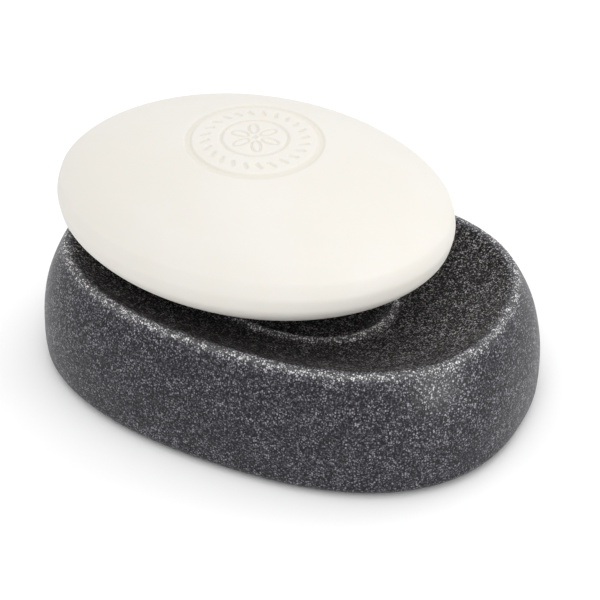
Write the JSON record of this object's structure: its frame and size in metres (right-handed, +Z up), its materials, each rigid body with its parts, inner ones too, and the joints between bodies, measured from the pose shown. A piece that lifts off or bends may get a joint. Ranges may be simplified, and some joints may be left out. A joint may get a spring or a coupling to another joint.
{
  "type": "soap bar on a soap dish",
  "caption": "Oval cream soap bar with a pressed ring seal, lying in a dark stone-effect oval dish with a dished top, a raised oval bead and anti-slip pads.",
  "frame": {"origin": "on the table, at the middle of the dish's plan, level with the underside of the pads", "axes": "+Z up, +X along the dish to its slightly wider end, -Y towards the side the dish is seen from"},
  "size_m": [0.1252, 0.0896, 0.0629],
  "materials": {
    "stone_resin": "matt cast resin filled with stone powder, dark anthracite with fine pale speckles",
    "pad_foam": "matt black self-adhesive EVA foam",
    "soap": "smooth cream milled soap with a soft satin sheen"
  },
  "bodies": {
    "dish": {"dish_body": "stone_resin", "pad_1": "pad_foam", "pad_2": "pad_foam", "pad_3": "pad_foam", "pad_4": "pad_foam"},
    "soap": {"soap_bar": "soap"}
  },
  "joints": [
    {"name": "soap_lift", "type": "slide", "parent": "dish", "child": "soap", "axis": [0, 0, 1], "range_m": [0, 0.06]}
  ]
}
